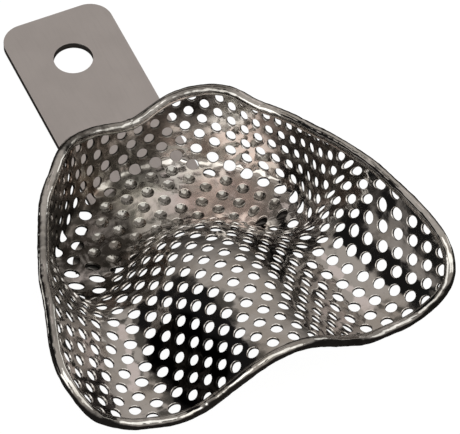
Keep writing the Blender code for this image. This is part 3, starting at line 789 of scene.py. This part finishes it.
def noise(tree, source, scale, detail=3.0, roughness=0.55, distortion=0.0):
    node = tree.nodes.new("ShaderNodeTexNoise")
    node.inputs["Scale"].default_value = scale
    node.inputs["Detail"].default_value = detail
    node.inputs["Roughness"].default_value = roughness
    node.inputs["Distortion"].default_value = distortion
    tree.links.new(source, node.inputs["Vector"])
    return node.outputs["Fac"]


def ramp(tree, value, low, high, to_low=0.0, to_high=1.0):
    node = tree.nodes.new("ShaderNodeMapRange")
    node.interpolation_type = "SMOOTHSTEP"
    node.inputs["From Min"].default_value = low
    node.inputs["From Max"].default_value = high
    node.inputs["To Min"].default_value = to_low
    node.inputs["To Max"].default_value = to_high
    tree.links.new(value, node.inputs["Value"])
    return node.outputs["Result"]


def mix_colour(tree, factor, first, second):
    node = tree.nodes.new("ShaderNodeMix")
    node.data_type = "RGBA"
    for slot_name, value in (("A", first), ("B", second)):
        socket = [i for i in node.inputs if i.name == slot_name and i.type == "RGBA"][0]
        if isinstance(value, tuple):
            socket.default_value = (*value, 1.0)
        else:
            tree.links.new(value, socket)
    tree.links.new(factor, node.inputs[0])
    return [o for o in node.outputs if o.type == "RGBA"][0]


def maths(tree, kind, first, second=None):
    node = tree.nodes.new("ShaderNodeMath")
    node.operation = kind
    for k, value in enumerate((first, second)):
        if value is None:
            continue
        if isinstance(value, (int, float)):
            node.inputs[k].default_value = value
        else:
            tree.links.new(value, node.inputs[k])
    return node.outputs[0]


def bump(tree, height, distance, strength=1.0, normal=None):
    node = tree.nodes.new("ShaderNodeBump")
    node.inputs["Distance"].default_value = distance
    node.inputs["Strength"].default_value = strength
    tree.links.new(height, node.inputs["Height"])
    if normal is not None:
        tree.links.new(normal, node.inputs["Normal"])
    return node.outputs["Normal"]


def near(tree, source, place, inner, outer):
    """1 within inner of a place on the tray, fading to 0 at outer, in millimetres."""
    node = tree.nodes.new("ShaderNodeVectorMath")
    node.operation = "DISTANCE"
    node.inputs[1].default_value = tuple(v * MM for v in place)
    tree.links.new(source, node.inputs[0])
    return ramp(tree, node.outputs["Value"], inner * MM, outer * MM, 1.0, 0.0)


def plated_metal(name, colour, rough, painted_reflections=(), ripple=0.00004, mottle=0.5):
    """Bright nickel plate: fine speckle, cloudy patches, painted reflections laid on as tinted
    patches at given places, and a slightly uneven surface.
    """
    material, tree, shader = new_material(name)
    place = tree.nodes.new("ShaderNodeTexCoord").outputs["Object"]
    cloud = noise(tree, place, 160, 4.0, 0.6, 0.4)
    fine = noise(tree, place, 1500, 3.0, 0.6)
    cloudy = ramp(tree, cloud, 0.42, 0.68)
    dull = tuple(c * (1 - 0.28 * mottle) for c in colour)
    tint = mix_colour(tree, cloudy, colour, (dull[0], dull[1] * 0.97, dull[2] * 0.93))
    speck = ramp(tree, fine, 0.56, 0.74, 0.0, 0.35 * mottle)
    tint = mix_colour(tree, speck, tint, tuple(c * 0.45 for c in colour))
    rough_value = ramp(tree, cloud, 0.35, 0.75, rough[0], rough[1])
    # Each entry paints a reflection into the colour: a tone at a place on the tray, broken up by
    # noise, with some extra roughness.
    for spot, inner, outer, reflection_tone, share, extra in painted_reflections:
        reach = near(tree, place, spot, inner, outer)
        patch = noise(tree, place, 330, 4.0, 0.65, 0.8)
        reflection_mask = maths(tree, "MULTIPLY", reach, ramp(tree, patch, 0.34, 0.56, 0.45, 1.0))
        reflection_mask = maths(tree, "MINIMUM", maths(tree, "MULTIPLY", reflection_mask, share), 1.0)
        tint = mix_colour(tree, reflection_mask, tint, reflection_tone)
        rough_value = maths(tree, "ADD", rough_value, maths(tree, "MULTIPLY", reflection_mask, extra))
    tree.links.new(tint, shader.inputs["Base Color"])
    tree.links.new(rough_value, shader.inputs["Roughness"])
    shader.inputs["Metallic"].default_value = 1.0
    waves_normal = bump(tree, noise(tree, place, 210, 2.0, 0.5), ripple * 6, 0.5)
    grain_normal = bump(tree, noise(tree, place, 900, 2.0, 0.5), ripple, 0.35, waves_normal)
    tree.links.new(grain_normal, shader.inputs["Normal"])
    return material


def satin_metal(name, colour, rough, run_scale=(900, 60, 900)):
    """Satin plate with a fine grain along its length and a few dull marks."""
    material, tree, shader = new_material(name)
    place = tree.nodes.new("ShaderNodeTexCoord").outputs["Object"]
    scaled = tree.nodes.new("ShaderNodeMapping")
    scaled.inputs["Scale"].default_value = run_scale
    tree.links.new(place, scaled.inputs["Vector"])
    grain = noise(tree, scaled.outputs["Vector"], 3.0, 4.0, 0.6)
    cloud = noise(tree, place, 120, 3.0, 0.55)
    light = mix_colour(tree, ramp(tree, cloud, 0.35, 0.7), colour, tuple(c * 0.93 for c in colour))
    tint = mix_colour(tree, ramp(tree, grain, 0.5, 0.8, 0.0, 0.25), light,
                      tuple(c * 0.80 for c in colour))
    tree.links.new(tint, shader.inputs["Base Color"])
    tree.links.new(ramp(tree, grain, 0.3, 0.7, rough[0], rough[1]), shader.inputs["Roughness"])
    shader.inputs["Metallic"].default_value = 1.0
    normal = bump(tree, grain, 0.000012, 0.4)
    tree.links.new(normal, shader.inputs["Normal"])
    return material


# ---------------------------------------------------------------- surroundings

def direction(azimuth, elevation):
    """A unit vector, with azimuth 0 along +Y and 90 along +X."""
    a = math.radians(azimuth)
    e = math.radians(elevation)
    return Vector((math.sin(a) * math.cos(e), math.cos(a) * math.cos(e), math.sin(e)))


def studio(patches, low, high):
    """A soft studio round the tray: a warm grey tent with white panels and dark openings."""
    world = bpy.data.worlds.new("studio")
    bpy.context.scene.world = world
    world.use_nodes = True
    tree = world.node_tree
    tree.nodes.clear()
    out = tree.nodes.new("ShaderNodeOutputWorld")
    look = tree.nodes.new("ShaderNodeTexCoord").outputs["Generated"]
    apart = tree.nodes.new("ShaderNodeSeparateXYZ")
    tree.links.new(look, apart.inputs[0])
    colour = mix_colour(tree, ramp(tree, apart.outputs["Z"], HORIZON_Z[0], HORIZON_Z[1]), low, high)
    for azimuth, elevation, inner, outer, tone in patches:
        dot = tree.nodes.new("ShaderNodeVectorMath")
        dot.operation = "DOT_PRODUCT"
        dot.inputs[1].default_value = direction(azimuth, elevation)
        tree.links.new(look, dot.inputs[0])
        mask = ramp(tree, dot.outputs["Value"], math.cos(math.radians(outer)),
                    math.cos(math.radians(inner)))
        colour = mix_colour(tree, mask, colour, tone)
    seen = tree.nodes.new("ShaderNodeBackground")
    seen.inputs["Color"].default_value = (*BACKDROP, 1.0)
    lit = tree.nodes.new("ShaderNodeBackground")
    tree.links.new(colour, lit.inputs["Color"])
    which = tree.nodes.new("ShaderNodeLightPath")
    both = tree.nodes.new("ShaderNodeMixShader")
    tree.links.new(which.outputs["Is Camera Ray"], both.inputs[0])
    tree.links.new(lit.outputs[0], both.inputs[1])
    tree.links.new(seen.outputs[0], both.inputs[2])
    tree.links.new(both.outputs[0], out.inputs["Surface"])


BACKDROP = (0.93, 0.93, 0.93)
GREY = (0.50, 0.465, 0.43)
HORIZON = (0.022, 0.020, 0.018)
HORIZON_Z = (-0.06, 0.50)
BLACK = (0.012, 0.012, 0.012)
DUSK = (0.10, 0.095, 0.085)
WHITE = (1.9, 1.88, 1.80)
PATCHES = (
    (-19, 44, 8, 14, DUSK),
    (-36, 26, 14, 19, BLACK),
    (-56, 27, 12, 17, BLACK),
    (-70, 34, 12, 17, BLACK),
    (-50, 12, 12, 16, BLACK),
    (-74, 3, 7, 11, BLACK),
    (14, 48, 3, 7, DUSK),
    (31, 50, 5, 10, (0.78, 0.70, 0.67)),
    (180, 68, 22, 30, WHITE),
    (-112, 32, 16, 22, WHITE),
    (128, 38, 15, 22, WHITE),
    (-157, 51, 6, 9, BLACK),
    (-30, -8, 6, 10, (1.3, 1.28, 1.22)),
    (75, 8, 7, 12, (1.3, 1.28, 1.22)),
)


FLOOR_HALF = 3.0
FLOOR_DROP = 0.0002
FLOOR_GREY = 0.12
FLOOR_GLOW = 0.95


def floor():
    """A pale floor just under the strap. It isn't seen in the metal's reflections."""
    mesh = bpy.data.meshes.new("studio_floor")
    half = FLOOR_HALF
    z = cad_low.z - FLOOR_DROP
    corners = [(-half, -half, z), (half, -half, z), (half, half, z), (-half, half, z)]
    mesh.from_pydata(corners, [], [(0, 1, 2, 3)])
    found = bpy.data.objects.new("studio_floor", mesh)
    bpy.context.scene.collection.objects.link(found)
    material, tree, shader = new_material("pale_floor")
    shader.inputs["Base Color"].default_value = (FLOOR_GREY, FLOOR_GREY, FLOOR_GREY, 1.0)
    shader.inputs["Roughness"].default_value = 0.9
    shader.inputs["Specular IOR Level"].default_value = 0.0
    shader.inputs["Emission Color"].default_value = (1.0, 1.0, 1.0, 1.0)
    shader.inputs["Emission Strength"].default_value = FLOOR_GLOW
    mesh.materials.append(material)
    found.visible_glossy = False


CAMERA_AZIMUTH = -23.88
CAMERA_ELEVATION = 50.77
CAMERA_PLACE = (-0.21905, -0.52836, 0.69632)
CAMERA_LENS = 406.4


def camera():
    """The viewing position and the two angles of its line of sight."""
    azimuth = math.radians(CAMERA_AZIMUTH)
    elevation = math.radians(CAMERA_ELEVATION)
    back = Vector((math.sin(azimuth) * math.cos(elevation),
                   -math.cos(azimuth) * math.cos(elevation), math.sin(elevation)))
    right = Vector((math.cos(azimuth), math.sin(azimuth), 0.0))
    up = back.cross(right)
    data = bpy.data.cameras.new("camera")
    data.sensor_width = 36.0
    data.lens = CAMERA_LENS
    data.clip_start = 0.01
    data.clip_end = 20.0
    found = bpy.data.objects.new("camera", data)
    bpy.context.scene.collection.objects.link(found)
    turn = Matrix((right, up, back)).transposed().to_4x4()
    found.matrix_world = Matrix.Translation(CAMERA_PLACE) @ turn
    bpy.context.scene.camera = found


def piece(name, mesh, material):
    found = bpy.data.objects.new(name, mesh)
    bpy.context.scene.collection.objects.link(found)
    mesh.materials.clear()
    mesh.materials.append(material)
    bpy.context.view_layer.update()
    return found


def settle(found, nodes):
    """Tie a piece to the body, and hide the nodes of the frame that it stands in for."""
    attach(found, "root")
    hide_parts(*nodes)


bpy.context.scene.view_settings.view_transform = "Standard"

# Painted reflections: dark, black, brown, rose and pale tones laid on the metal where it mirrors
# dark or bright surroundings. They are not stains on the metal.
BROWN_PAINTED_REFLECTION = (0.13, 0.095, 0.075)
DARK_PAINTED_REFLECTION = (0.075, 0.068, 0.060)
BLACK_PAINTED_REFLECTION = (0.030, 0.028, 0.026)
ROSE_PAINTED_REFLECTION = (0.70, 0.55, 0.50)
PALE_PAINTED_REFLECTION = (0.80, 0.79, 0.70)

sheet_metal = plated_metal(
    "bright_nickel_sheet", (0.63, 0.607, 0.59), (0.05, 0.16),
    # Every entry is a painted reflection: pale and rose on the floor, dark on the floor's left and
    # on the front and side walls, black on the left of the vault.
    painted_reflections=(
        ((-5, -1, 3.7), 3, 9, PALE_PAINTED_REFLECTION, 0.80, 0.05),
        ((10, -8, 3.7), 5, 9.5, ROSE_PAINTED_REFLECTION, 0.70, 0.08),
        ((-14, 4, 12), 8, 15, BROWN_PAINTED_REFLECTION, 1.15, 0.12),
        ((-2, 8, 10), 6, 12, DARK_PAINTED_REFLECTION, 0.95, 0.10),
        ((9, 7, 16), 3, 8, DARK_PAINTED_REFLECTION, 0.75, 0.10),
        ((25, -6, 15), 4, 10, DARK_PAINTED_REFLECTION, 0.85, 0.08),
        ((26, -14, 14), 4, 10, DARK_PAINTED_REFLECTION, 0.80, 0.05),
        ((-25, -9, 12), 7, 13, DARK_PAINTED_REFLECTION, 1.15, 0.10),
        ((-30, -24, 18), 4, 10, DARK_PAINTED_REFLECTION, 0.90, 0.05),
        ((-14, -6, 3.7), 6, 10, DARK_PAINTED_REFLECTION, 1.10, 0.12),
        ((-20, -17, 4), 2, 6, DARK_PAINTED_REFLECTION, 0.90, 0.05),
        ((-13.5, -41, 15), 4, 7, BLACK_PAINTED_REFLECTION, 2.2, 0.0),
        ((-12.5, -49, 17), 4, 7.5, BLACK_PAINTED_REFLECTION, 2.2, 0.0),
    ),
)
wire_metal = plated_metal(
    "bright_nickel_wire", (0.68, 0.665, 0.645), (0.05, 0.11),
    # Painted dark reflections on the bead, where the wire mirrors dark surroundings.
    painted_reflections=(
        ((-6, 8, 15), 5, 11, DARK_PAINTED_REFLECTION, 0.85, 0.05),
        ((12, 6, 19), 3, 9, DARK_PAINTED_REFLECTION, 0.60, 0.05),
        ((-31, -26, 23), 10, 18, DARK_PAINTED_REFLECTION, 0.45, 0.05),
        ((-28, -50, 15), 6, 16, DARK_PAINTED_REFLECTION, 0.35, 0.05),
        ((8, -54, 21), 8, 16, DARK_PAINTED_REFLECTION, 0.40, 0.05),
        ((26, -50, 14), 6, 14, DARK_PAINTED_REFLECTION, 0.50, 0.05),
    ),
    ripple=0.00012, mottle=0.7)
# The solder's colour is kept darker than its own grey: painted dark reflection, so the dished holes
# and the joint drop read dark.
solder_metal = plated_metal("plated_solder", (0.31, 0.30, 0.285), (0.03, 0.07),
                            ripple=0.00002, mottle=0.3)
strap_metal = satin_metal("satin_nickel_strap", (0.595, 0.57, 0.562), (0.30, 0.38))
plate_metal = satin_metal("dull_nickel_plate", (0.45, 0.43, 0.41), (0.32, 0.42))

press = Pressing()
outline = press.outline()
centres = press.hole_centres(outline)
placed = press.form(centres)[:, :2]
filled = inside(PLATE_OUTLINE, placed)
gap = distance_to_line(PLATE_OUTLINE, placed)
filled &= gap > FILL_INSET
# solder has crept a little past the plate's inner edge
filled |= (gap < FILL_CREEP) & (placed[:, 1] < INNER_EDGE_Y) & (np.abs(placed[:, 0]) < INNER_EDGE_X)

sheet = piece("tray_sheet", sheet_mesh(press, outline, centres), sheet_metal)
settle(sheet, ["tray_shell"])

path, outward = wire_path(press, outline)
wire = piece("border_wire", wire_mesh(path, outward), wire_metal)
settle(wire, ["rim_wire"])

drop_mesh = bpy.data.meshes.new("wire_joint_drop")
drop_shape = bmesh.new()
bmesh.ops.create_icosphere(drop_shape, subdivisions=4, radius=1.0)
for vert in drop_shape.verts:
    c = vert.co
    swell = DROP_SWELL * math.sin(5 * c.x + 2 * c.z) * math.cos(4 * c.y)
    uneven = 1 + swell + DROP_RIPPLE * math.sin(9 * c.y)
    vert.co = Vector([a * b for a, b in zip(c, DROP_STRETCH)]) * uneven * MM
drop_shape.to_mesh(drop_mesh)
drop_shape.free()
drop_mesh.polygons.foreach_set("use_smooth", [True] * len(drop_mesh.polygons))
drop = piece("wire_joint_drop", drop_mesh, solder_metal)
drop.location = Vector(path[0] * MM)
settle(drop, ["rim_joint_solder"])

strap = piece("strap", flat_mesh("strap", strap_loops(), STRAP_THICK), strap_metal)
strap.location.z = STRAP_THICK * MM / 2
eased = strap.modifiers.new("eased_edges", "BEVEL")
eased.width = STRAP_EDGE_BEVEL * MM
eased.segments = 3
eased.limit_method = "ANGLE"
eased.angle_limit = math.radians(EASED_ANGLE)
settle(strap, ["handle_strap"])

plate_thick = PLATE_TOP - PLATE_BOTTOM + PLATE_SINK
shown = [(x, y + INNER_EDGE_WORN) if k in INNER_EDGE else (x, y)
         for k, (x, y) in enumerate(PLATE_OUTLINE)]
plate = piece("crescent_plate", flat_mesh("crescent_plate", [shown], plate_thick), plate_metal)
plate.location.z = (PLATE_BOTTOM - PLATE_SINK + PLATE_TOP) * MM / 2
settle(plate, ["arch_plate"])

solder = piece("risen_solder", solder_mesh(press, centres[filled], PLATE_TOP), solder_metal)
settle(solder, ["floor_solder"])

studio(PATCHES, HORIZON, GREY)
floor()
camera()
